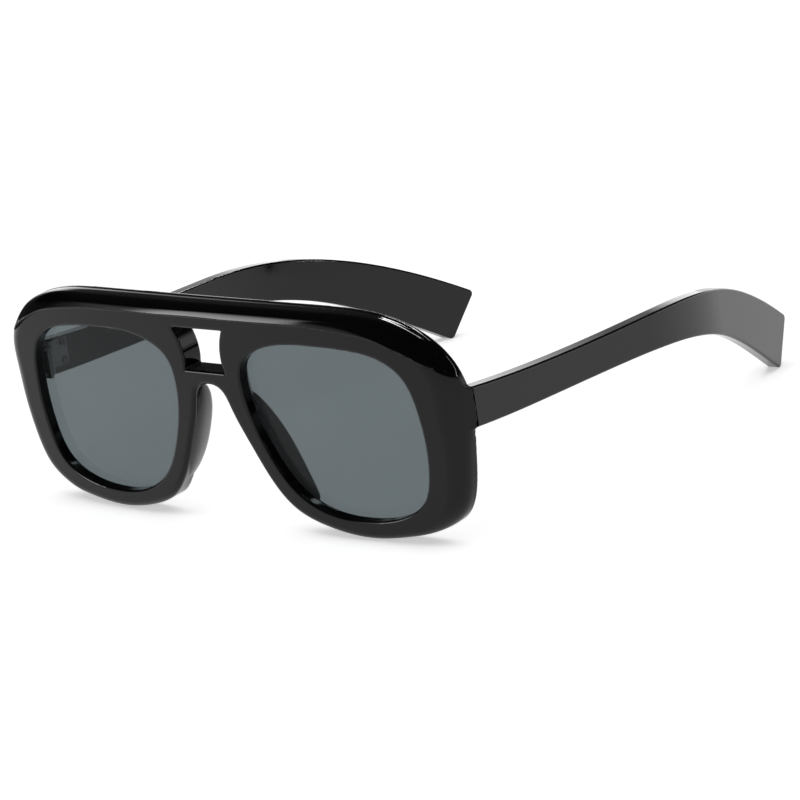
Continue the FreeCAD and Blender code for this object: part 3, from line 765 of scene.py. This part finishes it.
def sine(degrees):
    """The height of a direction at an elevation."""
    return math.sin(math.radians(degrees))


def aligned(vector):
    """How far directions point along a vector."""
    made = node(world, "VectorMath")
    made.operation = "DOT_PRODUCT"
    made.inputs[1].default_value = vector
    tree.links.new(direction, made.inputs[0])
    return made.outputs["Value"]


low_white = spread(world, parts.outputs["Z"], sine(8), sine(17), 1.0, 0.03)
not_left = spread(world, parts.outputs["X"], -0.90, -0.76, 0.05, 1.0)
behind = spread(world, parts.outputs["Y"], 0.35, 0.6, 1.0, 2.0)
SOFTBOX = Vector((-0.69, -0.72, 0)).normalized()
sideways = combine(world, "ABSOLUTE", aligned((SOFTBOX.y, -SOFTBOX.x, 0)))
across = spread(world, sideways, 0.06, 0.12, 1.0, 0.0)
upright = spread(world, parts.outputs["Z"], sine(0), sine(36), 1.0, 0.0)
facing = spread(world, aligned(SOFTBOX), 0.2, 0.4, 0.0, 11.0)
softbox = combine(world, "MULTIPLY", combine(world, "MULTIPLY", across, upright), facing)
walls = combine(world, "MULTIPLY", combine(world, "MULTIPLY", low_white, not_left), behind)
background = tree.nodes["Background"]
background.inputs["Color"].default_value = (1, 1, 1, 1)
tree.links.new(combine(world, "ADD", walls, softbox), background.inputs["Strength"])


def soft_light(name, start, end, distance, across, radiance):
    """A rectangular lamp that faces the glasses, and reaches from one direction to another."""
    start, end = Vector(start).normalized(), Vector(end).normalized()
    aim = (start + end).normalized()
    along = (end - start).normalized()
    lamp = bpy.data.lights.new(name, "AREA")
    lamp.shape = "RECTANGLE"
    lamp.size = (end - start).length * distance
    lamp.size_y = across
    lamp.energy = radiance * math.pi * lamp.size * lamp.size_y
    made = bpy.data.objects.new(name, lamp)
    bpy.context.scene.collection.objects.link(made)
    turn = Matrix((along, aim.cross(along), aim)).transposed().to_4x4()
    made.matrix_world = Matrix.Translation(aim * distance) @ turn
    return made


# A wide panel overhead lights the scene, and two strips only make highlights
soft_light("panel", (-0.55, 0, 0.83), (0.55, 0, 0.83), 3.0, 4.0, 0.8).visible_glossy = False
soft_light("brow_strip", (-0.47, 0.64, 0.61), (0.31, 0.37, 0.88), 0.9, 0.04, 20.0).visible_diffuse = False
soft_light("side_strip", (0.62, 0.33, 0.71), (0.90, 0.33, 0.28), 0.8, 0.045, 14.0).visible_diffuse = False

# The camera stands where the one fitted to the photograph stood
camera_data = bpy.data.cameras.new("camera")
camera_data.lens = 180.75
camera_data.sensor_width = 36.0
camera_data.sensor_fit = "HORIZONTAL"
camera_data.clip_start = 0.01
camera = bpy.data.objects.new("camera", camera_data)
bpy.context.scene.collection.objects.link(camera)
azimuth, elevation, turned = math.radians(44.119), math.radians(15.840), math.radians(-8.931)
distance = 971.8
target = Vector((-0.02, 60.012 + FACE_SHIFT_Y, 11.617 + FACE_SHIFT_Z))
back = Vector((
    math.sin(azimuth) * math.cos(elevation), -math.cos(azimuth) * math.cos(elevation), math.sin(elevation),
))
level_right = Vector((math.cos(azimuth), math.sin(azimuth), 0))
level_up = back.cross(level_right)
right = level_right * math.cos(turned) + level_up * math.sin(turned)
up = level_up * math.cos(turned) - level_right * math.sin(turned)
turn = Matrix((right, up, back)).transposed().to_4x4()
camera.matrix_world = Matrix.Translation((target + back * distance) * MM) @ turn
bpy.context.scene.camera = camera
bpy.context.scene.view_settings.view_transform = "Standard"
